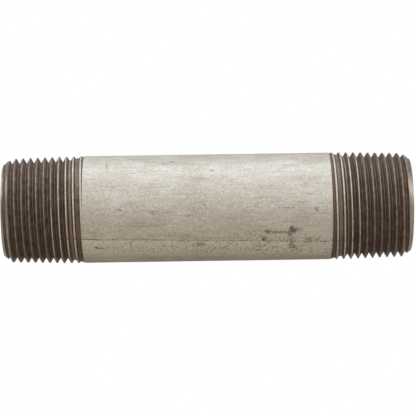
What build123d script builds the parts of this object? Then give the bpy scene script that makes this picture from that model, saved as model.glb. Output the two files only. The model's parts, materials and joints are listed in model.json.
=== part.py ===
from build123d import *
from math import atan, cos, degrees, radians, tan
import os

# Galvanised steel pipe nipple, 3/4-14 NPT by 4 inches: a short length of welded
# Schedule 40 pipe with a taper pipe thread cut on each end.
#
# Frame: millimetres, the pipe's axis along X, the origin on the axis halfway along.
# +X points out of one end, -X out of the other.
#
# The pipe is a steel strip rolled into a tube and closed by one lengthwise weld,
# then dipped in zinc inside and out. The threads are cut after dipping, so the die
# leaves bare steel in the grooves and zinc only on the barrel between the threads
# and on the narrow flat crests of the last, shallow threads.

# ---- Driving dimensions ----------------------------------------------------------
LENGTH = 4 * 25.4
STEEL_OD = 1.050 * 25.4
WALL = 0.113 * 25.4
ZINC = 0.08  # thickness of the zinc inside and out
PITCH = 25.4 / 14
TAPER = 1 / 32  # growth in radius per length along the axis (1 in 16 on diameter)
FLANK_DEG = 30  # each flank, from square to the axis
CREST_FLAT = 0.16  # width of the flat along a full crest
ROOT_FLAT = 0.07
FULL_THREAD = 15.2  # end face to where the root starts to climb out
THREAD_END = 0.7935 * 25.4  # end face to where the last groove runs out
END_FACE_RADIUS = 11.5
END_CHAMFER_DEG = 38  # outer chamfer, from the axis
REAM = 0.4  # 45 degree chamfer where the bore is reamed
SEAM_WIDTH = 2.0
SEAM_DEG = 37  # below the horizontal, on the -Y side
CREST_TURN = {"left": 0.17, "right": 0.70}  # turns from the end face to a crest

# ---- Worked-out dimensions -------------------------------------------------------
STEEL_R = STEEL_OD / 2
STEEL_BORE_R = STEEL_R - WALL
ZINC_R = STEEL_R + ZINC
BORE_R = STEEL_BORE_R - ZINC
TAPER_DEG = degrees(atan(TAPER))
# Pitch diameter at the end face, by the pipe thread's own rule (inches, then mm).
PITCH_DIA = STEEL_OD - (0.05 * STEEL_OD / 25.4 + 1.1) * PITCH
# A sharp V thread would reach half its height above and below that diameter.
FLANK_RUN = tan(radians(FLANK_DEG))  # along the axis, for each unit of depth
SHARP_HALF_HEIGHT = PITCH / FLANK_RUN / 4
CREST_CUT = CREST_FLAT / 2 / FLANK_RUN  # depth taken off the sharp crest
ROOT_CUT = ROOT_FLAT / 2 / FLANK_RUN  # depth left in the sharp root
CREST_R0 = PITCH_DIA / 2 + SHARP_HALF_HEIGHT - CREST_CUT
ROOT_R0 = PITCH_DIA / 2 - SHARP_HALF_HEIGHT + ROOT_CUT
THREAD_HEIGHT = CREST_R0 - ROOT_R0

BURY = 0.03  # the ridge's foot lies this far under the root, to fuse cleanly
CLEAR = 3.0  # how far tools of the model run past the surfaces that they cut
LEAD_IN_TURNS = 2  # turns of ridge before the end face


def cone_radius(end_radius, z):
    """Radius at z of the 1 in 16 cone that has end_radius at the end face."""
    return end_radius + z * TAPER


def ridge_half_width(depth):
    """Half the thread ridge's width at this depth under its crest."""
    return FLANK_RUN * (CREST_CUT + depth)


def root_climb_end():
    """(radius, z) of a point on the climbing root, CLEAR outside the steel."""
    start_r = cone_radius(ROOT_R0, FULL_THREAD)
    climb = (STEEL_R - start_r) / (THREAD_END - FULL_THREAD)
    return STEEL_R + CLEAR, THREAD_END + CLEAR / climb


def revolved(points):
    """Solid of revolution about Z from (radius, z) points."""
    outline = Polyline(*[(r, 0, z) for r, z in points], close=True)
    return revolve(make_face(outline), Axis.Z)


def ridge():
    """Helical ridge of one thread, a tapered right-hand helix rising along +Z.

    Its crest crosses the end face, z = 0, on the +X side.
    """
    middle = -LEAD_IN_TURNS * PITCH
    height = THREAD_END + CLEAR - middle

    def line(offset, end_radius):
        z = middle + offset
        return Edge.make_helix(
            PITCH / cos(radians(TAPER_DEG)),
            height,
            cone_radius(end_radius, z),
            center=(0, 0, z),
            angle=TAPER_DEG,
        )

    foot_r = ROOT_R0 - BURY
    foot = ridge_half_width(THREAD_HEIGHT + BURY)
    top = ridge_half_width(0)
    corners = [
        line(-foot, foot_r),
        line(-top, CREST_R0),
        line(top, CREST_R0),
        line(foot, foot_r),
    ]
    faces = [
        Face.make_surface_from_curves(a, b)
        for a, b in zip(corners, corners[1:] + corners[:1])
    ]
    for end in (0, 1):
        faces.append(Face(Wire.make_polygon([c @ end for c in corners], close=True)))
    return Solid(Shell(faces))


def thread_form():
    """Everything that the die leaves at one end, its end face at z = 0."""
    start = -(LEAD_IN_TURNS + 1) * PITCH
    core = revolved(
        [
            (0, start),
            (cone_radius(ROOT_R0, start), start),
            (cone_radius(ROOT_R0, FULL_THREAD), FULL_THREAD),
            root_climb_end(),
            (STEEL_R + CLEAR, LENGTH + CLEAR),
            (0, LENGTH + CLEAR),
        ]
    )
    return core + ridge()


def both_threads():
    """The thread forms of the left and the right end, on the part's axis."""
    form = thread_form()
    left = Rot(0, 90, 0) * Rot(0, 0, -360 * CREST_TURN["left"]) * form
    right = Rot(0, -90, 0) * Rot(0, 0, -360 * CREST_TURN["right"]) * form
    return Pos(-LENGTH / 2, 0, 0) * left, Pos(LENGTH / 2, 0, 0) * right


def along_x(points):
    """Solid of revolution about X, mirrored about the middle, from (radius, x) points.

    The points run along one half only, from the outer end towards the middle.
    """
    mirrored = [(r, -x) for r, x in reversed(points)]
    return Rot(0, 90, 0) * revolved(points + mirrored)


def cut_by_dies(blank, threads):
    """The blank after both thread dies have run."""
    left, right = threads
    return blank & left & right


def steel_blank():
    """Pipe cut to length, its ends chamfered outside and reamed inside."""
    end = LENGTH / 2
    chamfer = (STEEL_R - END_FACE_RADIUS) / tan(radians(END_CHAMFER_DEG))
    outer = [(END_FACE_RADIUS, -end), (STEEL_R, chamfer - end)]
    inner = [(STEEL_BORE_R, REAM - end), (STEEL_BORE_R + REAM, -end)]
    solid = along_x([(0, -end)] + outer)
    hole = along_x([(0, -end - CLEAR), (inner[1][0] + CLEAR, -end - CLEAR), inner[0]])
    return solid - hole


def outer_zinc(threads):
    """Zinc over the barrel, running on as a ribbon along the last crests.

    The ribbon stops where the die has left only half the zinc's thickness.
    """
    half_cut_away = (STEEL_R + ZINC / 2 - CREST_R0) / TAPER
    covered = LENGTH - 2 * half_cut_away
    zinc_bar = Rot(0, 90, 0) * Cylinder(ZINC_R, covered)
    steel_bar = Rot(0, 90, 0) * Cylinder(STEEL_R, LENGTH)
    return cut_by_dies(zinc_bar, threads) - steel_bar


def inner_zinc():
    """Zinc lining of the bore, up to the reamed mouths."""
    length = LENGTH - 2 * REAM
    lining = Cylinder(STEEL_BORE_R, length) - Cylinder(BORE_R, length)
    return Rot(0, 90, 0) * lining


def seam_zone():
    """Block around the weld, through the wall for the pipe's whole length."""
    block = Box(
        LENGTH + CLEAR,
        STEEL_R + CLEAR,
        SEAM_WIDTH,
        align=(Align.CENTER, Align.MAX, Align.CENTER),
    )
    return Rot(SEAM_DEG, 0, 0) * block


def main():
    threads = both_threads()
    pipe = cut_by_dies(steel_blank(), threads)
    seam = seam_zone()
    parts = {
        "rolled_steel_strip": pipe - seam,
        "weld_seam": pipe & seam,
        "outer_zinc_coating": outer_zinc(threads),
        "inner_zinc_coating": inner_zinc(),
    }
    os.makedirs("parts", exist_ok=True)
    for name, shape in parts.items():
        export_step(shape, f"parts/{name}.step")
        print(name, len(shape.solids()), round(shape.volume, 2), shape.is_valid)


main()
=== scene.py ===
import json
from math import asin, ceil, cos, degrees, exp, pi, radians, sin, tan

import bpy
from mathutils import Matrix, Vector, noise


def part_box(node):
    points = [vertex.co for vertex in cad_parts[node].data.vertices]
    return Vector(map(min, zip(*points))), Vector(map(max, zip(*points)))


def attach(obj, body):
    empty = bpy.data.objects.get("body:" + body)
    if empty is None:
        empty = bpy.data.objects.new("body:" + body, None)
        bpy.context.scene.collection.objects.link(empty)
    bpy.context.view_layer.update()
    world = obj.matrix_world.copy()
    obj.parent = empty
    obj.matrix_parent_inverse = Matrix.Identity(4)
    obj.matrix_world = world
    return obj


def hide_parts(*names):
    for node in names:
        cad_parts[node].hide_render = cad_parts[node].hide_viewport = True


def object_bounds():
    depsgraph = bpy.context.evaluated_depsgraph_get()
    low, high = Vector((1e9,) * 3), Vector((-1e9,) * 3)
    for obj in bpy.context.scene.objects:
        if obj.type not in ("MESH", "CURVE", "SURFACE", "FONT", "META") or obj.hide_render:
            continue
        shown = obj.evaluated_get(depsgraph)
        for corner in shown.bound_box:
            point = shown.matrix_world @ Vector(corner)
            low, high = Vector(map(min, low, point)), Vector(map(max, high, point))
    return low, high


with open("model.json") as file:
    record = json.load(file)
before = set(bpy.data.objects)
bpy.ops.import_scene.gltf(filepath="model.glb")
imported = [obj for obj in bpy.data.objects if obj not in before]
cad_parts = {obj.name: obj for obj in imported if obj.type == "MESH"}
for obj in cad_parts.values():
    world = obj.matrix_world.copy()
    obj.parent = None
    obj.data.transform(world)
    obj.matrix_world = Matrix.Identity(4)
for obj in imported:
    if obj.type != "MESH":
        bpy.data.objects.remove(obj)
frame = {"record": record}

# Galvanised steel pipe nipple, 3/4-14 NPT by 4 inches. The pipe's axis is along X,
# with the origin halfway along it. Lengths here are in millimetres and become metres
# when a mesh is made, except on the stage, which is in metres throughout. Turns are
# degrees about +X, from +Y towards +Z, so the side that faces the camera is at 180
# and the top is at 90. In the threads, s is the distance from the nearest end face.

CAD_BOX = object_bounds()
MM = 0.001
FRONT = 180
TOP = 90

# ---- Sizes ------------------------------------------------------------------------
MOUNTS = {mount["name"]: mount for mount in frame["record"]["mounts"]}
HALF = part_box("rolled_steel_strip")[1].x / MM
BORE_R = MOUNTS["bore"]["dims"]["r_mm"]
ZINC_CAD = 0.08
STEEL_R = MOUNTS["barrel"]["dims"]["r_mm"] - ZINC_CAD
STEEL_BORE_R = BORE_R + ZINC_CAD
ZINC = 0.05  # lumps rise from here, and stay inside the CAD's box

INCH = 25.4
PITCH = INCH / 14
TAPER = 1 / 32  # growth in radius per length along the axis
FLANK_RUN = tan(radians(30))  # along the axis, for each unit of depth
CREST_FLAT = 0.16
ROOT_FLAT = 0.07
# The radii ending in 0 are those of the tapered thread at the end face.
PITCH_R0 = STEEL_R - (0.05 * 2 * STEEL_R / INCH + 1.1) * PITCH / 2
APEX_R0 = PITCH_R0 + PITCH / FLANK_RUN / 4  # of the sharp V thread
CREST_R0 = APEX_R0 - CREST_FLAT / 2 / FLANK_RUN
ROOT_R0 = PITCH_R0 - PITCH / FLANK_RUN / 4 + ROOT_FLAT / 2 / FLANK_RUN
FULL_THREAD = 15.2  # end face to where the root starts to climb out
THREAD_END = 0.7935 * INCH  # end face to where the last groove runs out
FULL_ROOT_R = ROOT_R0 + TAPER * FULL_THREAD
CLIMB = (STEEL_R - FULL_ROOT_R) / (THREAD_END - FULL_THREAD)
END_FACE_R = 11.5
CHAMFER = tan(radians(38))  # growth in radius per length along the axis
REAM = 0.4
SEAM_WIDTH = 2.0
SEAM_TURN = FRONT + 37
WELD_TWIST = 0.12  # degrees for each mm along the pipe
WELD_OUTER = degrees(asin(SEAM_WIDTH / 2 / STEEL_R))  # half the weld's width
WELD_INNER = degrees(asin(SEAM_WIDTH / 2 / STEEL_BORE_R))

# Turns of thread from each end face to a crest on top of the pipe. Going round, the
# crests move away from the left end and towards the right end.
CREST_ON_TOP = {"left": 0.67, "right": 0.70}
WINDING = {"left": 1, "right": -1}
SIDE = {"left": -1, "right": 1}


# ---- Mesh tools --------------------------------------------------------------------
BELOW_GROOVES_R = 11.2  # inside every root and outside the bore
WIDEST_FACE = 1.0  # a sheet with grooves in it bridges nothing wider
CLOSED_GROOVE = 0.04  # a groove this narrow is bridged
SHARP_ANGLE = 42


def at(x, radius, turn):
    """The point at x, this far from the axis, at this turn."""
    angle = radians(turn)
    return Vector((x, radius * cos(angle), radius * sin(angle)))


def lumps(point, size):
    """Smooth noise from -1 to 1, with lumps of about this size."""
    return noise.noise(point / size)


def shared_span(row, other):
    """The part of the row from the first to the last label that the other row has."""
    labels = {label for label, _ in other}
    shared = [i for i, (label, _) in enumerate(row) if label in labels]
    return row[shared[0] : shared[-1] + 1]


class Skin:
    """Points and faces of one piece, built up row by row around the pipe.

    Each point also has two values for the material: height, from 0 in a root to 1 on
    a crest, and faced, which is 1 where the end was turned flat, chamfered or reamed.
    """

    def __init__(self):
        self.points = []
        self.values = {"height": [], "faced": []}
        self.faces = []

    def add(self, point, height=0.0, faced=0.0):
        self.points.append(point)
        self.values["height"].append(height)
        self.values["faced"].append(faced)
        return len(self.points) - 1

    def stitch(self, row, following, is_gap=None):
        """Faces between two rows of (label, point) pairs that run the same way.

        Points with the same label are joined by quads. A point that only one row has
        gets a triangle, which is where a ridge starts or stops. Where is_gap says
        that two labels have a groove between them, the sheet stays open there.
        """
        row, following = shared_span(row, following), shared_span(following, row)
        there = {label for label, _ in following}
        i = j = 0
        while i < len(row) - 1 or j < len(following) - 1:
            step_i = i < len(row) - 1
            step_j = j < len(following) - 1
            if not (step_i and step_j and row[i + 1][0] == following[j + 1][0]):
                step_i = step_i and row[i + 1][0] not in there
                step_j = not step_i
            steps = row[i : i + 1 + step_i], following[j : j + 1 + step_j]
            i += step_i
            j += step_j
            face = [point for _, point in steps[0][:1] + steps[1] + steps[0][1:]]
            if is_gap is None or not self.crosses_gap(face, steps, is_gap):
                self.faces.append(tuple(face))

    def crosses_gap(self, face, steps, is_gap):
        """True if this face would bridge a groove. steps are its sides along the rows."""
        for step in steps:
            if len(step) == 2 and is_gap(step[0][0], step[1][0]):
                if self.longest_side([point for _, point in step]) > CLOSED_GROOVE:
                    return True
        return self.longest_side(face) > WIDEST_FACE

    def longest_side(self, corners):
        places = [self.points[corner] for corner in corners]
        return max((p - q).length for p, q in zip(places, places[1:] + places[:1]))

    def close_side(self, outer, inner, flip):
        """Closes one side of a sector, between two rows of points that run along +X.

        Quads lead straight down from the thread to a line of points below its grooves,
        and triangles fill the rest of the way to the bore.
        """
        below = [self.add(self.below_grooves(point)) for point in outer[1:-1]]
        below = outer[:1] + below + outer[-1:]
        wall = []
        for i in range(len(outer) - 1):
            corners = (outer[i], below[i], below[i + 1], outer[i + 1])
            wall.append(tuple(dict.fromkeys(corners)))
        i = j = 0
        while i < len(below) - 1 or j < len(inner) - 1:
            if self.next_x(below, i) <= self.next_x(inner, j):
                wall.append((below[i], inner[j], below[i + 1]))
                i += 1
            else:
                wall.append((below[i], inner[j], inner[j + 1]))
                j += 1
        self.faces += [face[::-1] if flip else face for face in wall]

    def next_x(self, row, i):
        """X of the row's next point, or past the pipe's end where it has none."""
        return self.points[row[i + 1]].x if i < len(row) - 1 else HALF + 1

    def below_grooves(self, point):
        x, y, z = self.points[point]
        shrink = BELOW_GROOVES_R / (y * y + z * z) ** 0.5
        return Vector((x, y * shrink, z * shrink))

    def thicken(self, under):
        """Closes an open sheet. under gives each point's twin on the underside."""
        sheet = list(self.faces)
        sides = {side for face in sheet for side in zip(face, face[1:] + face[:1])}
        self.faces += [tuple(under[p] for p in reversed(face)) for face in sheet]
        rim = [(p, q) for p, q in sorted(sides) if (q, p) not in sides]
        self.faces += [(q, p, under[p], under[q]) for p, q in rim]

    def make(self, name, node, slot, material):
        """The Blender object, which stands for a CAD node."""
        mesh = bpy.data.meshes.new(name)
        used = sorted({point for face in self.faces for point in face})
        renumbered = {point: i for i, point in enumerate(used)}
        faces = [[renumbered[point] for point in face] for face in self.faces]
        mesh.from_pydata([self.points[point] * MM for point in used], [], faces)
        for key, values in self.values.items():
            layer = mesh.attributes.new(key, "FLOAT", "POINT")
            layer.data.foreach_set("value", [values[point] for point in used])
        mesh.shade_smooth()
        mesh.set_sharp_from_angle(angle=radians(SHARP_ANGLE))
        mesh.materials.append(material)
        piece = bpy.data.objects.new(name, mesh)
        bpy.context.scene.collection.objects.link(piece)
        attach(piece, "root")
        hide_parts(node)
        return piece


# ---- The thread's shape ------------------------------------------------------------
FLANK_STEPS = (0.0, 0.1, 0.37, 0.63, 0.9)  # from the root to just short of the crest
RUN_OUT_HEIGHT = 0.2  # oily like a groove, not bright like a crest
OVAL = 0.012  # the radius varies this much either way, so that the zinc wears unevenly
OVAL_TURN = 20  # where the pipe is narrowest
NEAR_END_FACE = 0.03  # no point of the thread comes closer to the end face
NEAR_RUN_OUT = 0.01
NEAR_CHAMFER = 0.02  # a point this close under the chamfer counts as faced


def pipe_radius(turn):
    """The steel's radius at this turn, outside the threads."""
    return STEEL_R - OVAL * (1 + cos(radians(2 * (turn - OVAL_TURN))))


def root_radius(s):
    """Radius of the root, which climbs out to the steel's surface past FULL_THREAD."""
    if s < FULL_THREAD:
        return ROOT_R0 + TAPER * s
    return FULL_ROOT_R + CLIMB * (s - FULL_THREAD)


def crest_reach(middle, side, cap):
    """How far from a ridge's middle its crest ends, on this side.

    side is -1 towards the end face and 1 away from it. Where the surface, cap, lies
    below the crest's cone, the ridge is cut off there and its crest is wider.
    """
    if CREST_R0 + TAPER * middle <= cap:
        return CREST_FLAT / 2
    return (APEX_R0 + TAPER * middle - cap) / (1 / FLANK_RUN - side * TAPER)


def root_reach(middle, side):
    """How far from a ridge's middle its flank meets the root, on this side."""
    reach = FLANK_RUN * (APEX_R0 - ROOT_R0)
    if middle + side * reach <= FULL_THREAD:
        return reach
    height = APEX_R0 + TAPER * middle - FULL_ROOT_R - CLIMB * (middle - FULL_THREAD)
    return height / (1 / FLANK_RUN + side * (CLIMB - TAPER))


def thread_profile(end, turn, cap):
    """One end's profile at this turn, from the end face to where the groove runs out.

    Gives (label, s, radius, height in the groove) for each point. A label is the end,
    the ridge's number and the place on the ridge. cap is the radius of the surface
    that the thread is cut into.
    """
    first = CREST_ON_TOP[end] + WINDING[end] * (turn - TOP) / 360
    run_out = FULL_THREAD + (cap - FULL_ROOT_R) / CLIMB
    profile = []
    ridge = ceil(-first - 0.6)  # its middle may lie just past the end face
    while True:
        middle = (first + ridge) * PITCH
        crest = min(cap, CREST_R0 + TAPER * middle)
        for side in (-1, 1):
            edge = middle + side * crest_reach(middle, side, cap)
            if edge > run_out - NEAR_RUN_OUT:
                profile.append(((end, None, "run out"), run_out, cap, RUN_OUT_HEIGHT))
                return profile
            foot = middle + side * root_reach(middle, side)
            flank = []
            for step in FLANK_STEPS:
                s = foot + step * (edge - foot)
                radius = root_radius(foot) + step * (crest - root_radius(foot))
                flank.append(((end, ridge, side * (1 + step)), s, radius, step))
            crest_edge = "start" if side < 0 else "finish"
            flank.append(((end, ridge, crest_edge), edge, crest, 1.0))
            profile += flank[::-side]
            if side < 0:
                profile.append(((end, ridge, "crest"), middle, crest, 1.0))
        ridge += 1


def cut_profile(end, turn, cap):
    """thread_profile with the end chamfer. A last value is 1 where the chamfer cut."""
    yield (end, None, "end face"), 0.0, END_FACE_R, 0.5, 1.0
    for label, s, radius, height in thread_profile(end, turn, cap):
        if s > NEAR_END_FACE:
            chamfer = END_FACE_R + CHAMFER * s
            faced = float(radius > chamfer - NEAR_CHAMFER)
            yield label, s, min(radius, chamfer), height, faced


def is_groove(label, following):
    """True if a groove lies between these two points of a crest or of the barrel."""
    parts = {label[2], following[2]}
    return "finish" in parts and "crest" not in parts


# ---- Wear --------------------------------------------------------------------------
# Nicks in the crests: which end, distance from its face, turn, depth and radius.
NICKS = [
    ("left", 1.9, 201, 0.22, 0.7),
    ("left", 4.6, 158, 0.16, 0.5),
    ("left", 8.2, 183, 0.20, 0.6),
    ("left", 11.7, 217, 0.14, 0.5),
    ("left", 6.4, 40, 0.20, 0.8),
    ("left", 13.6, 302, 0.18, 0.6),
    ("right", 2.3, 140, 0.24, 0.8),
    ("right", 5.2, 171, 0.15, 0.5),
    ("right", 9.4, 128, 0.20, 0.6),
    ("right", 7.7, 224, 0.16, 0.5),
    ("right", 3.8, 330, 0.22, 0.8),
    ("right", 12.2, 66, 0.16, 0.6),
]
NICK_MIDDLE_R = STEEL_R - 0.2
NICK_POINTS = [
    (at(SIDE[end] * (HALF - s), NICK_MIDDLE_R, turn), depth, size)
    for end, s, turn, depth, size in NICKS
]
# Lumps of each kind, as pairs of height and size.
CHATTER = [(0.012, 0.9), (0.008, 0.35)]
TORN = [(0.04, 2.3)]
THREAD_WORN = 0.01  # everywhere, so that few lumps reach the thread's full size
WEAR_FADE = 0.5  # the wear grows over this much of the pipe, from the end face
ZINC_LUMPS = [(0.008, 3.1), (0.006, 0.8)]
ROLLER_MARKS = [(0.006, 0.7)]
ROLLER_STRETCH = 0.03
BORE_LUMPS = [(0.035, 2.2), (0.02, 0.8)]
BORE_RUNS = [(0.03, 1.6)]
RUN_STRETCH = 0.12
BEAD_HEIGHT = 0.16  # of the weld inside the bore
BEAD_WIDTH = 0.7
BEAD_LUMPS = [(1.0, 1.2)]


def relief(point, waves, stretch=1.0):
    """Height of the lumps at this point. A small stretch draws them out along X."""
    place = Vector((point.x * stretch, point.y, point.z))
    return sum(height * lumps(place, size) for height, size in waves)


def thread_wear(point, height, s):
    """Chatter, torn crests and nicks of the cut thread, as a change of radius.

    It only takes steel away, so the thread stays inside its full size.
    """
    change = relief(point, CHATTER) - THREAD_WORN
    change -= height * max(0.0, relief(point, TORN))
    if height > 0.5:  # nicks spoil the crests, not the roots
        for middle, depth, size in NICK_POINTS:
            away = (point - middle).length / size
            if away < 1:
                change -= depth * (1 - away * away) ** 2
    return min(0.0, change) * min(1.0, s / WEAR_FADE)


def zinc_wear(point):
    """Lumps of the dipped coat, and its lengthwise marks from the rollers."""
    return relief(point, ZINC_LUMPS) + relief(point, ROLLER_MARKS, ROLLER_STRETCH)


def bore_wear(point, turn):
    """Runs and lumps of the zinc inside, and the weld's low bead under it."""
    change = relief(point, BORE_LUMPS) + relief(point, BORE_RUNS, RUN_STRETCH)
    across = radians(turn - SEAM_TURN) * BORE_R
    bead = BEAD_HEIGHT * exp(-((across / BEAD_WIDTH) ** 2))
    return change - bead * (1 + relief(point, BEAD_LUMPS))


# ---- Steel: the rolled strip, and the weld that closes it --------------------------
STRIP_ROWS = 288
WELD_ROWS = 8


def steel_row(skin, turn, inner_turn):
    """The outside and the bore at this turn, as (label, point) pairs along +X."""
    outer = []
    inner = []
    for end in ("left", "right"):
        half = []
        for label, s, radius, height, faced in cut_profile(end, turn, pipe_radius(turn)):
            x = SIDE[end] * (HALF - s)
            radius += thread_wear(at(x, radius, turn), height, s)
            half.append((label, skin.add(at(x, radius, turn), height, faced)))
        outer += half[:: -SIDE[end]]
        mouth = []
        for place, s, radius in (("mouth", 0.0, STEEL_BORE_R + REAM), ("ream", REAM, STEEL_BORE_R)):
            point = skin.add(at(SIDE[end] * (HALF - s), radius, inner_turn), height=0.5, faced=1.0)
            mouth.append(((end, None, place), point))
        inner += mouth[:: -SIDE[end]]
    return outer, inner


def bore_turn(turn):
    """The bore's turn under this turn of the outside, both from the weld's middle.

    The weld is as wide inside as outside, so it takes up more degrees there.
    """
    if abs(turn) <= WELD_OUTER:
        return turn * WELD_INNER / WELD_OUTER
    return 180 + (turn - 180) * (180 - WELD_INNER) / (180 - WELD_OUTER)


def steel_sector(first, last, rows):
    """A closed sector of the pipe, between two turns measured from the weld's middle."""
    skin = Skin()
    made = []
    for i in range(rows + 1):
        turn = first + (last - first) * i / rows
        made.append(steel_row(skin, SEAM_TURN + turn, SEAM_TURN + bore_turn(turn)))
    loops = [outer + inner[::-1] + [("closed", outer[0][1])] for outer, inner in made]
    for loop, following in zip(loops, loops[1:]):
        skin.stitch(loop, following)
    for (outer, inner), flip in ((made[0], True), (made[-1], False)):
        skin.close_side([point for _, point in outer], [point for _, point in inner], flip)
    return skin


def rolled_strip(material):
    skin = steel_sector(WELD_OUTER, 360 - WELD_OUTER, STRIP_ROWS)
    return skin.make("threaded_steel_strip", "rolled_steel_strip", "bare_steel", material)


def weld(material):
    skin = steel_sector(-WELD_OUTER, WELD_OUTER, WELD_ROWS)
    return skin.make("lengthwise_weld", "weld_seam", "weld_steel", material)


# ---- Zinc --------------------------------------------------------------------------
THINNEST_RIBBON = 0.012
RIBBON_RAGGEDNESS = 1.7  # size of the bites in the ribbons' ends
ZINC_SINK = 0.004  # the zinc's underside lies this far inside the steel
LINING_GAP = 0.002  # between the lining and the steel
THINNEST_LINING = 0.02
BARREL_MARGIN = 0.6  # from the run-out to the barrel's first ring of points
ZINC_ROWS = 300
BARREL_SPACING = 0.55
BORE_ROWS = 150
BORE_SPACING = 0.8
# How far each edge's foot lies from its top, for each unit of zinc.
FOOT = {"start": -FLANK_RUN, "crest": 0, "finish": FLANK_RUN, "run out": -1 / CLIMB}


def zinc_points(end, turn):
    """The zinc of one half at this turn, as (label, s, radius, s of its underside).

    It lies on the crests where the die left some of it, and on the barrel.
    """
    steel = pipe_radius(turn)
    for label, s, radius, _, _ in cut_profile(end, turn, steel + ZINC):
        if label[2] in FOOT:
            thickness = radius - steel
            ragged = THINNEST_RIBBON * (1 + lumps(at(s, STEEL_R, turn), RIBBON_RAGGEDNESS))
            if thickness > ragged:
                yield label, s, radius, s + FOOT[label[2]] * thickness
    longest = HALF - THREAD_END - BARREL_MARGIN
    rings = round(longest / BARREL_SPACING)
    middle_ring = 1 if end == "left" else 0  # only one half has the ring they share
    for i in range(rings + middle_ring):
        s = HALF - longest * (1 - i / rings)
        yield (end, i, "ring"), s, steel + ZINC, s


def zinc_row(skin, turn, under):
    """The zinc's outside at this turn, as (label, point) pairs along +X."""
    row = []
    for end in ("left", "right"):
        half = []
        for label, s, radius, low_s in zinc_points(end, turn):
            x = SIDE[end] * (HALF - s)
            radius += zinc_wear(at(x, radius, turn))
            point = skin.add(at(x, radius, turn), 1.0)
            low_x = SIDE[end] * (HALF - low_s)
            under[point] = skin.add(at(low_x, pipe_radius(turn) - ZINC_SINK, turn))
            half.append((label, point))
        row += half[:: -SIDE[end]]
    return row


def outer_zinc(material):
    skin = Skin()
    under = {}
    rows = [zinc_row(skin, 360 * i / ZINC_ROWS, under) for i in range(ZINC_ROWS)]
    # A full turn on, the first row's points carry the labels of the next ridges.
    last = [label for label, *_ in zinc_points("left", 360)]
    last += [label for label, *_ in zinc_points("right", 360)][::-1]
    rows.append([(label, point) for label, (_, point) in zip(last, rows[0])])
    for row, following in zip(rows, rows[1:]):
        skin.stitch(row, following, is_groove)
    skin.thicken(under)
    return skin.make("outer_zinc_skin", "outer_zinc_coating", "outer_zinc", material)


def inner_zinc(material):
    skin = Skin()
    end = HALF - REAM
    rings = round(2 * end / BORE_SPACING)
    loops = []
    for i in range(BORE_ROWS):
        turn = 360 * i / BORE_ROWS
        outside = STEEL_BORE_R - LINING_GAP
        loop = [(side, skin.add(at(side * end, outside, turn))) for side in (-1, 1)]
        for ring in range(rings + 1):
            x = end - 2 * end * ring / rings
            radius = BORE_R + bore_wear(at(x, BORE_R, turn), turn)
            radius = min(radius, STEEL_BORE_R - THINNEST_LINING)
            loop.append((("ring", ring), skin.add(at(x, radius, turn))))
        loops.append(loop + [("closed", loop[0][1])])
    for loop, following in zip(loops, loops[1:] + loops[:1]):
        skin.stitch(loop, following)
    return skin.make("inner_zinc_lining", "inner_zinc_coating", "inner_zinc", material)


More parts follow.
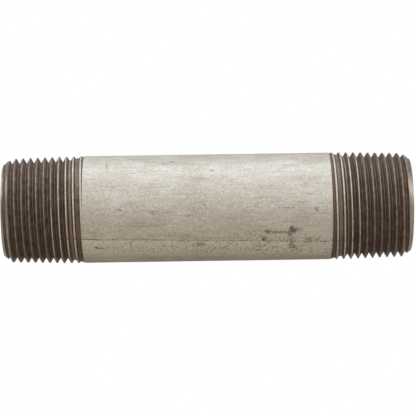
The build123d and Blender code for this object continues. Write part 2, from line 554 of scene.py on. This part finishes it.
# ---- Materials ---------------------------------------------------------------------
class Paint:
    """A short way to write a material's nodes."""

    def __init__(self, name):
        self.material = bpy.data.materials.new(name)
        self.material.use_nodes = True
        self.tree = self.material.node_tree
        self.shader = self.tree.nodes["Principled BSDF"]

    def node(self, kind, inputs, **settings):
        node = self.tree.nodes.new("ShaderNode" + kind)
        for key, value in settings.items():
            setattr(node, key, value)
        for key, value in inputs.items():
            self.feed(node.inputs[key], value)
        return node

    def feed(self, socket, value):
        if isinstance(value, bpy.types.NodeSocket):
            self.tree.links.new(value, socket)
        else:
            socket.default_value = value

    def math(self, operation, a, b=0.0):
        return self.node("Math", {0: a, 1: b}, operation=operation).outputs[0]

    def product(self, a, b):
        return self.math("MULTIPLY", a, b)

    def total(self, a, b):
        return self.math("ADD", a, b)

    def absolute(self, value):
        return self.math("ABSOLUTE", value)

    def noise(self, vector, size, detail=3.0, roughness=0.55, distortion=0.0):
        """Noise from 0 to 1 with blobs of about this size, in millimetres."""
        inputs = {
            "Vector": vector,
            "Scale": 1 / size,
            "Detail": detail,
            "Roughness": roughness,
            "Distortion": distortion,
        }
        return self.node("TexNoise", inputs).outputs["Fac"]

    def between(self, value, low, high, to_low=0.0, to_high=1.0):
        """value from low to high, eased to run from to_low to to_high."""
        inputs = {0: value, 1: low, 2: high, 3: to_low, 4: to_high}
        return self.node("MapRange", inputs, interpolation_type="SMOOTHSTEP").outputs[0]

    def stripe(self, value, start, full, fading, end):
        """1 where value is between full and fading, and 0 before start and after end."""
        return self.product(self.between(value, start, full), self.between(value, end, fading))

    def mix(self, factor, a, b, blend="MIX"):
        node = self.node("Mix", {0: factor, 6: a, 7: b}, data_type="RGBA", blend_type=blend)
        return node.outputs[2]

    def fade(self, value, low, high, a, b):
        """Colour a where value is low, fading to b where it is high."""
        return self.mix(self.between(value, low, high), a, b)

    def coat(self, colour, over, value, bare, covered, strength=1.0):
        """Lays the colour over on top, more of it as value goes from bare to covered."""
        return self.mix(self.between(value, bare, covered, 0.0, strength), colour, over)

    def stretch(self, vector, x, y, z):
        return self.node("VectorMath", {0: vector, 1: (x, y, z)}, operation="MULTIPLY").outputs[0]

    def drawn_out(self, vector, x):
        """The place, squeezed along the pipe so that what is drawn on it gets longer."""
        return self.stretch(vector, x, 1, 1)

    def place(self):
        """The point on the object, in millimetres."""
        coordinates = self.node("TexCoord", {}).outputs["Object"]
        return self.stretch(coordinates, 1 / MM, 1 / MM, 1 / MM)

    def along_and_around(self, vector):
        """X, and the distance up round the outside from the front."""
        x, y, z = self.node("SeparateXYZ", {0: vector}).outputs
        front_angle = self.math("ARCTAN2", z, self.product(y, -1.0))
        return x, self.product(front_angle, STEEL_R)

    def from_axis(self, vector):
        across_pipe = self.stretch(vector, 0, 1, 1)
        length = self.node("VectorMath", {0: across_pipe}, operation="LENGTH")
        return length.outputs["Value"]

    def attribute(self, name):
        return self.node("Attribute", {}, attribute_name=name).outputs["Fac"]

    def bump(self, height, distance, strength=0.6):
        inputs = {"Height": height, "Distance": distance * MM, "Strength": strength}
        return self.node("Bump", inputs).outputs[0]

    def finish(self, **inputs):
        for key, value in inputs.items():
            self.feed(self.shader.inputs[key.replace("_", " ").title()], value)
        return self.material


def grey(value):
    return (value, value, value, 1)


# Colours of the zinc on the outside.
ZINC_DULL = (0.53, 0.50, 0.44, 1)
ZINC_PLAIN = (0.60, 0.575, 0.53, 1)
ZINC_PALE = (0.67, 0.655, 0.61, 1)
ZINC_DARK = (0.42, 0.385, 0.32, 1)
DRAWN_MARK = (0.36, 0.33, 0.28, 1)
GRAIN_DARK = (0.28, 0.255, 0.20, 1)
GRAIN_BRIGHT = (0.86, 0.85, 0.81, 1)
PORE = (0.24, 0.21, 0.15, 1)
PIT = (0.25, 0.215, 0.15, 1)
WELD_MARK = (0.22, 0.17, 0.11, 1)
# Dark and bright speckles of the painted reflection of light from below, under the weld's line.
SHEEN_SPECKLE_DARK = (0.56, 0.51, 0.42, 1)
SHEEN_SPECKLE_BRIGHT = (0.98, 0.94, 0.85, 1)

# Colours of the cut steel.
GROOVE_DARK = (0.17, 0.12, 0.088, 1)
GROOVE_PLAIN = (0.33, 0.25, 0.20, 1)
GROOVE_TORN = (0.40, 0.325, 0.275, 1)
# Painted reflection in the roots: a lighter brown laid where the groove is deepest.
ROOT_SHEEN = (0.36, 0.29, 0.24, 1)
OIL = (0.13, 0.09, 0.065, 1)
CREST_DARK = (0.20, 0.17, 0.16, 1)
CREST_PLAIN = (0.33, 0.295, 0.285, 1)
CREST_RUBBED = (0.46, 0.42, 0.41, 1)
FACED_DARK = (0.20, 0.17, 0.15, 1)
FACED_BRIGHT = (0.46, 0.42, 0.38, 1)
OILY_FROM_R = 12.5  # roots further out than this lie in the shallow last grooves
OILY_R = 13.2
STEEL_TINT = grey(1.0)
WELD_TINT = grey(0.94)

# Colours of the lining.
LINING_DARK = (0.36, 0.34, 0.31, 1)
LINING_PALE = (0.55, 0.53, 0.49, 1)
LINING_RUN = (0.22, 0.20, 0.17, 1)

# The weld's traces on the zinc, and a pale band under its line that is a painted
# reflection of light from below. The two bands are distances above the weld's line:
# where they start, are full, start to fade and end.
LINE_HALF_WIDTH = 0.22
LINE_CORE = 0.05
LINE_WAVER = 0.12
BROKEN_UP_TO = 24.0  # from the middle: nearer the threads the line is whole
WHOLE_FROM = 28.0
SHEEN_BAND = (-6.8, -4.0, -0.5, 0.1)
# painted reflection: a pale band of light from below, just under the weld's line
PITTED_BAND = (-5.5, -3.5, 0.0, 5.0)
FEWEST_PITS_X = -40.0
MOST_PITS_X = 15.0

# Stains and specks on the barrel: distance from the middle, angle above the front,
# half length and half height in millimetres, strength, and colour.
YELLOW = (0.42, 0.34, 0.15, 1)
RUST = (0.27, 0.17, 0.10, 1)
DIRT = (0.12, 0.10, 0.065, 1)
OLIVE = (0.33, 0.29, 0.20, 1)
MARKS = [
    (-24.7, 55, 0.22, 2.0, 0.6, OLIVE),
    (-24.5, 48, 0.5, 0.4, 0.5, YELLOW),
    (-10.3, 55, 1.2, 0.45, 0.5, RUST),
    (-8.6, 59, 0.9, 0.35, 0.6, DIRT),
    (1.4, 43, 0.32, 0.25, 0.8, DIRT),
    (-1.5, 33, 1.5, 0.8, 0.25, RUST),
    (-21.4, -1, 0.3, 0.3, 0.7, DIRT),
    (-13.6, -5, 0.7, 0.3, 0.5, RUST),
    (-4.6, -8, 0.8, 0.3, 0.5, RUST),
    (-27.4, -45, 0.45, 0.45, 0.9, DIRT),
    (-26.2, -46, 0.9, 0.2, 0.6, DIRT),
    (-18.9, -42, 0.3, 1.0, 0.7, RUST),
    (-1.8, -42, 1.0, 0.8, 0.6, RUST),
    (-5.0, -30, 0.7, 0.4, 0.3, RUST),
    (13.8, -36, 0.6, 0.45, 0.95, DIRT),
    (14.8, -27, 0.7, 0.45, 0.9, DIRT),
    (17.3, -28, 1.8, 0.4, 0.6, DIRT),
    (20.6, -26, 0.9, 1.1, 0.85, DIRT),
    (22.0, -25, 1.2, 0.5, 0.6, DIRT),
    (20.7, -42, 0.8, 2.8, 0.5, DIRT),
    (21.2, -47, 0.4, 0.35, 0.9, DIRT),
    (24.8, -38, 0.9, 0.9, 0.5, RUST),
    (26.6, -3, 0.5, 0.5, 0.5, DIRT),
    (19.5, -1, 1.6, 0.14, 0.6, DIRT),
    (26.0, 57, 4.0, 1.6, 0.3, OLIVE),
    (3.5, 12, 6.0, 1.8, 0.25, OLIVE),
    (14.0, 18, 4.0, 1.5, 0.25, OLIVE),
]


def add_marks(paint, colour, x, around, wobble):
    """Paints the marks over colour, with edges moved in and out by wobble."""
    for middle, angle, length, height, strength, stain in MARKS:
        dx = paint.math("DIVIDE", paint.math("SUBTRACT", x, middle), length)
        up = radians(angle) * STEEL_R
        dy = paint.math("DIVIDE", paint.math("SUBTRACT", around, up), height)
        away = paint.math("SQRT", paint.total(paint.product(dx, dx), paint.product(dy, dy)))
        colour = paint.coat(colour, stain, paint.total(away, wobble), 1.2, 0.6, strength)
    return colour


def above_weld(paint, x, around):
    """Distance up round the outside from the weld's line, which twists along the pipe."""
    twist = paint.product(x, radians(WELD_TWIST) * STEEL_R)
    return paint.total(paint.total(around, twist), radians(SEAM_TURN - FRONT) * STEEL_R)


def add_weld_and_sheen(paint, colour, vector, x, above, drawn):
    """The weld's thin line, and under it a pale band with speckles: a painted
    reflection of light from below.
    """
    waver = paint.between(drawn, 0.3, 0.7, -LINE_WAVER, LINE_WAVER)
    from_line = paint.absolute(paint.total(above, waver))
    only_x = paint.stretch(vector, 1, 0, 0)
    broken = paint.between(paint.noise(only_x, size=5.0, detail=2.0), 0.4, 0.6, 0.15, 0.65)
    whole = paint.between(paint.absolute(x), BROKEN_UP_TO, WHOLE_FROM, 0.0, 0.95)
    strength = paint.math("MAXIMUM", broken, whole)
    line = paint.product(paint.between(from_line, LINE_HALF_WIDTH, LINE_CORE), strength)
    colour = paint.mix(line, colour, WELD_MARK)
    # Painted reflection: a pale band with speckles, laid half over the zinc under the weld's line.
    speckles = paint.noise(vector, size=0.4, detail=2.0, roughness=0.8)
    speckled_sheen = paint.fade(speckles, 0.4, 0.6, SHEEN_SPECKLE_DARK, SHEEN_SPECKLE_BRIGHT)
    band = paint.stripe(above, *SHEEN_BAND)
    return paint.mix(paint.product(band, 0.5), colour, speckled_sheen)


def add_pits(paint, colour, x, above, pores):
    """Small pits on both sides of the weld, with more of them towards the right."""
    crowding = paint.between(x, FEWEST_PITS_X, MOST_PITS_X, 0.3, 0.85)
    crowding = paint.product(paint.stripe(above, *PITTED_BAND), crowding)
    pits = paint.product(crowding, paint.between(pores, 0.46, 0.36))
    return paint.mix(pits, colour, PIT)


def galvanised():
    """Dull, mottled zinc with fine grain, lengthwise marks, specks and stains."""
    paint = Paint("galvanised_outside")
    vector = paint.place()
    x, around = paint.along_and_around(vector)
    above = above_weld(paint, x, around)
    patches = paint.noise(vector, size=11.0, detail=2.0)
    blotches = paint.noise(paint.drawn_out(vector, 0.5), size=1.7, roughness=0.65, distortion=0.4)
    drawn = paint.noise(paint.drawn_out(vector, 0.05), size=0.5, roughness=0.7)
    grain = paint.noise(paint.drawn_out(vector, 0.7), size=0.33, detail=2.0, roughness=0.8)
    pores = paint.noise(vector, size=0.6, detail=2.0, roughness=0.7)

    colour = paint.fade(patches, 0.35, 0.65, ZINC_DULL, ZINC_PLAIN)
    colour = paint.coat(colour, ZINC_PALE, blotches, 0.5, 0.75, 0.6)
    colour = paint.coat(colour, ZINC_DARK, blotches, 0.46, 0.25, 0.6)
    colour = paint.coat(colour, DRAWN_MARK, drawn, 0.5, 0.25, 0.7)
    colour = paint.coat(colour, GRAIN_DARK, grain, 0.47, 0.3, 0.6)
    colour = paint.coat(colour, GRAIN_BRIGHT, grain, 0.54, 0.74, 0.6)
    colour = paint.coat(colour, PORE, pores, 0.35, 0.27, 0.7)
    # the weld's line, and the painted reflection of light from below under it
    colour = add_weld_and_sheen(paint, colour, vector, x, above, drawn)
    colour = add_pits(paint, colour, x, above, pores)
    torn = paint.noise(vector, size=0.45, roughness=0.8)
    wobble = paint.between(torn, 0.25, 0.75, -1.1, 1.1)
    colour = add_marks(paint, colour, x, around, wobble)

    height = paint.total(paint.product(grain, 0.6), paint.product(blotches, 0.5))
    height = paint.total(height, paint.product(drawn, 0.5))
    return paint.finish(
        base_color=colour,
        metallic=0.7,
        roughness=paint.between(grain, 0.3, 0.7, 0.52, 0.4),
        normal=paint.bump(height, 0.05),
    )


def groove_colour(paint, height, from_axis, blotches, chatter):
    """Brown with oil, lighter where it is torn, with a painted reflection lightening the
    roots, darkest in the last grooves, which are shallow."""
    colour = paint.fade(blotches, 0.3, 0.7, GROOVE_DARK, GROOVE_PLAIN)
    colour = paint.coat(colour, GROOVE_TORN, chatter, 0.45, 0.7, 0.5)
    # painted reflection: the roots are laid a little lighter
    colour = paint.coat(colour, ROOT_SHEEN, height, 0.14, 0.0, 0.3)
    shallow = paint.between(from_axis, OILY_FROM_R, OILY_R, 0.0, 0.9)
    return paint.mix(paint.product(shallow, paint.between(height, 0.6, 0.3)), colour, OIL)


def cut_steel(name, tint):
    """Bare cut steel, dark with oil in the grooves and rubbed brighter on crests."""
    paint = Paint(name)
    vector = paint.place()
    height = paint.attribute("height")
    faced = paint.attribute("faced")
    blotches = paint.noise(vector, size=1.3, detail=4.0, roughness=0.65, distortion=0.5)
    grain = paint.noise(vector, size=0.4, detail=2.0, roughness=0.7)
    rings = paint.stretch(vector, 8.0, 0.5, 0.5)  # fine along the pipe, long around it
    chatter = paint.noise(rings, size=0.8, roughness=0.6)

    groove = groove_colour(paint, height, paint.from_axis(vector), blotches, chatter)
    crest = paint.fade(blotches, 0.35, 0.65, CREST_DARK, CREST_PLAIN)
    crest = paint.coat(crest, CREST_RUBBED, grain, 0.5, 0.7, 0.5)
    colour = paint.fade(height, 0.55, 0.92, groove, crest)
    turned = paint.fade(chatter, 0.3, 0.7, FACED_DARK, FACED_BRIGHT)
    colour = paint.mix(faced, colour, turned)
    colour = paint.mix(1.0, colour, tint, "MULTIPLY")

    relief_height = paint.total(paint.product(chatter, 0.6), paint.product(blotches, 0.5))
    return paint.finish(
        base_color=colour,
        metallic=0.85,
        roughness=paint.between(blotches, 0.2, 0.8, 0.36, 0.5),
        normal=paint.bump(relief_height, 0.03),
    )


def bore_zinc():
    """The lining: greyer and rougher than the outside, with dark runs."""
    paint = Paint("galvanised_inside")
    vector = paint.place()
    blotches = paint.noise(vector, size=1.8, detail=4.0, roughness=0.6, distortion=0.6)
    runs = paint.noise(paint.drawn_out(vector, 0.15), size=1.4)
    colour = paint.fade(blotches, 0.3, 0.7, LINING_DARK, LINING_PALE)
    colour = paint.coat(colour, LINING_RUN, runs, 0.5, 0.3, 0.5)
    return paint.finish(
        base_color=colour,
        metallic=0.7,
        roughness=0.5,
        normal=paint.bump(paint.total(blotches, runs), 0.06),
    )


# ---- Stage, in metres --------------------------------------------------------------
VIEW_DISTANCE = 0.5
VIEW_TURN = -0.3  # degrees: the camera stands a little to the left of the front
VIEW_ROLL = 0.86  # degrees: the right end is a little higher in the picture
SENSOR = 36.0
PICTURE_SIDE = 0.1045  # across the picture, at the pipe's axis
AIM = Vector((0.00022, 0, -0.00007))
NEAREST_SEEN = 0.01


def camera():
    data = bpy.data.cameras.new("camera")
    data.sensor_width = SENSOR
    data.lens = SENSOR * VIEW_DISTANCE / PICTURE_SIDE
    data.clip_start = NEAREST_SEEN
    seen = bpy.data.objects.new("camera", data)
    bpy.context.scene.collection.objects.link(seen)
    turn = radians(VIEW_TURN)
    away = Vector((sin(turn), -cos(turn), 0)) * VIEW_DISTANCE
    look = Matrix.Rotation(turn, 4, "Z") @ Matrix.Rotation(pi / 2, 4, "X")
    roll = Matrix.Rotation(radians(-VIEW_ROLL), 4, "Z")
    seen.matrix_world = Matrix.Translation(AIM + away) @ look @ roll
    bpy.context.scene.camera = seen


# Soft boxes: name, direction as degrees round from the front and up, width, height,
# watts, and colour.
WARM = (1, 0.98, 0.95)
COOL = (0.88, 0.95, 1)
LIGHTS = [
    ("front_low", 0, 15, 0.9, 0.3, 0.88, WARM),
    ("front_high", 0, 52, 0.9, 0.6, 1.85, WARM),
    ("overhead", 0, 91, 0.9, 0.3, 1.6, COOL),
    ("behind", 0, 128, 0.9, 0.6, 1.4, WARM),
    ("right_side", 80, 25, 0.3, 0.3, 1.0, WARM),
    ("left_side", -80, 35, 0.3, 0.3, 1.1, WARM),
]
LIGHT_DISTANCE = 0.6


def soft_boxes():
    for name, across, rise, width, height, watts, colour in LIGHTS:
        data = bpy.data.lights.new(name, "AREA")
        data.shape = "RECTANGLE"
        data.size = width
        data.size_y = height
        data.energy = watts
        data.color = colour
        lamp = bpy.data.objects.new(name, data)
        bpy.context.scene.collection.objects.link(lamp)
        raised = Matrix.Rotation(radians(-rise), 4, "X")
        turned = Matrix.Rotation(radians(across), 4, "Z") @ raised
        towards = turned @ Vector((0, -1, 0))
        lamp.location = towards * LIGHT_DISTANCE
        lamp.rotation_euler = (-towards).to_track_quat("-Z", "Y").to_euler()
        lamp.visible_camera = False


FLOOR_REACH = 6.0
FLOOR_GAP = 0.00002  # under the pipe's lowest point
FLOOR_PALE = (0.34, 0.31, 0.265, 1)
FLOOR_GLOW = (0.30, 0.275, 0.24, 1)
ROOM_GLOW = grey(0.05)
WHITE = grey(1.0)


def coloured(tree, kind, colour):
    """A new shader of this kind and colour."""
    shader = tree.nodes.new("ShaderNode" + kind)
    shader.inputs["Color"].default_value = colour
    return shader.outputs[0]


def show_to_camera(tree, shown, lighting, out):
    """The camera sees one shader, and the other one lights the scene."""
    ray = tree.nodes.new("ShaderNodeLightPath")
    choose = tree.nodes.new("ShaderNodeMixShader")
    tree.links.new(ray.outputs["Is Camera Ray"], choose.inputs[0])
    tree.links.new(lighting, choose.inputs[1])
    tree.links.new(shown, choose.inputs[2])
    tree.links.new(choose.outputs[0], out.inputs[0])


def floor():
    """A pale floor with a dim glow, as from the room's light. The camera sees it white."""
    z = CAD_BOX[0].z - FLOOR_GAP
    square = [(-1, -1), (1, -1), (1, 1), (-1, 1)]
    corners = [(x * FLOOR_REACH, y * FLOOR_REACH, z) for x, y in square]
    mesh = bpy.data.meshes.new("floor")
    mesh.from_pydata(corners, [], [(0, 1, 2, 3)])
    material = bpy.data.materials.new("floor")
    material.use_nodes = True
    tree = material.node_tree
    tree.nodes.clear()
    both = tree.nodes.new("ShaderNodeAddShader")
    tree.links.new(coloured(tree, "BsdfDiffuse", FLOOR_PALE), both.inputs[0])
    tree.links.new(coloured(tree, "Emission", FLOOR_GLOW), both.inputs[1])
    out = tree.nodes.new("ShaderNodeOutputMaterial")
    show_to_camera(tree, coloured(tree, "Emission", WHITE), both.outputs[0], out)
    mesh.materials.append(material)
    plane = bpy.data.objects.new("floor", mesh)
    bpy.context.scene.collection.objects.link(plane)


def surroundings():
    """A room that looks white to the camera and gives hardly any light."""
    world = bpy.data.worlds.new("room")
    bpy.context.scene.world = world
    world.use_nodes = True
    tree = world.node_tree
    tree.nodes.clear()
    out = tree.nodes.new("ShaderNodeOutputWorld")
    lighting = coloured(tree, "Background", ROOM_GLOW)
    show_to_camera(tree, coloured(tree, "Background", WHITE), lighting, out)


# ---- The scene ---------------------------------------------------------------------
rolled_strip(cut_steel("cut_steel", STEEL_TINT))
weld(cut_steel("cut_weld", WELD_TINT))
outer_zinc(galvanised())
inner_zinc(bore_zinc())

camera()
floor()
surroundings()
soft_boxes()
bpy.context.scene.view_settings.view_transform = "Standard"
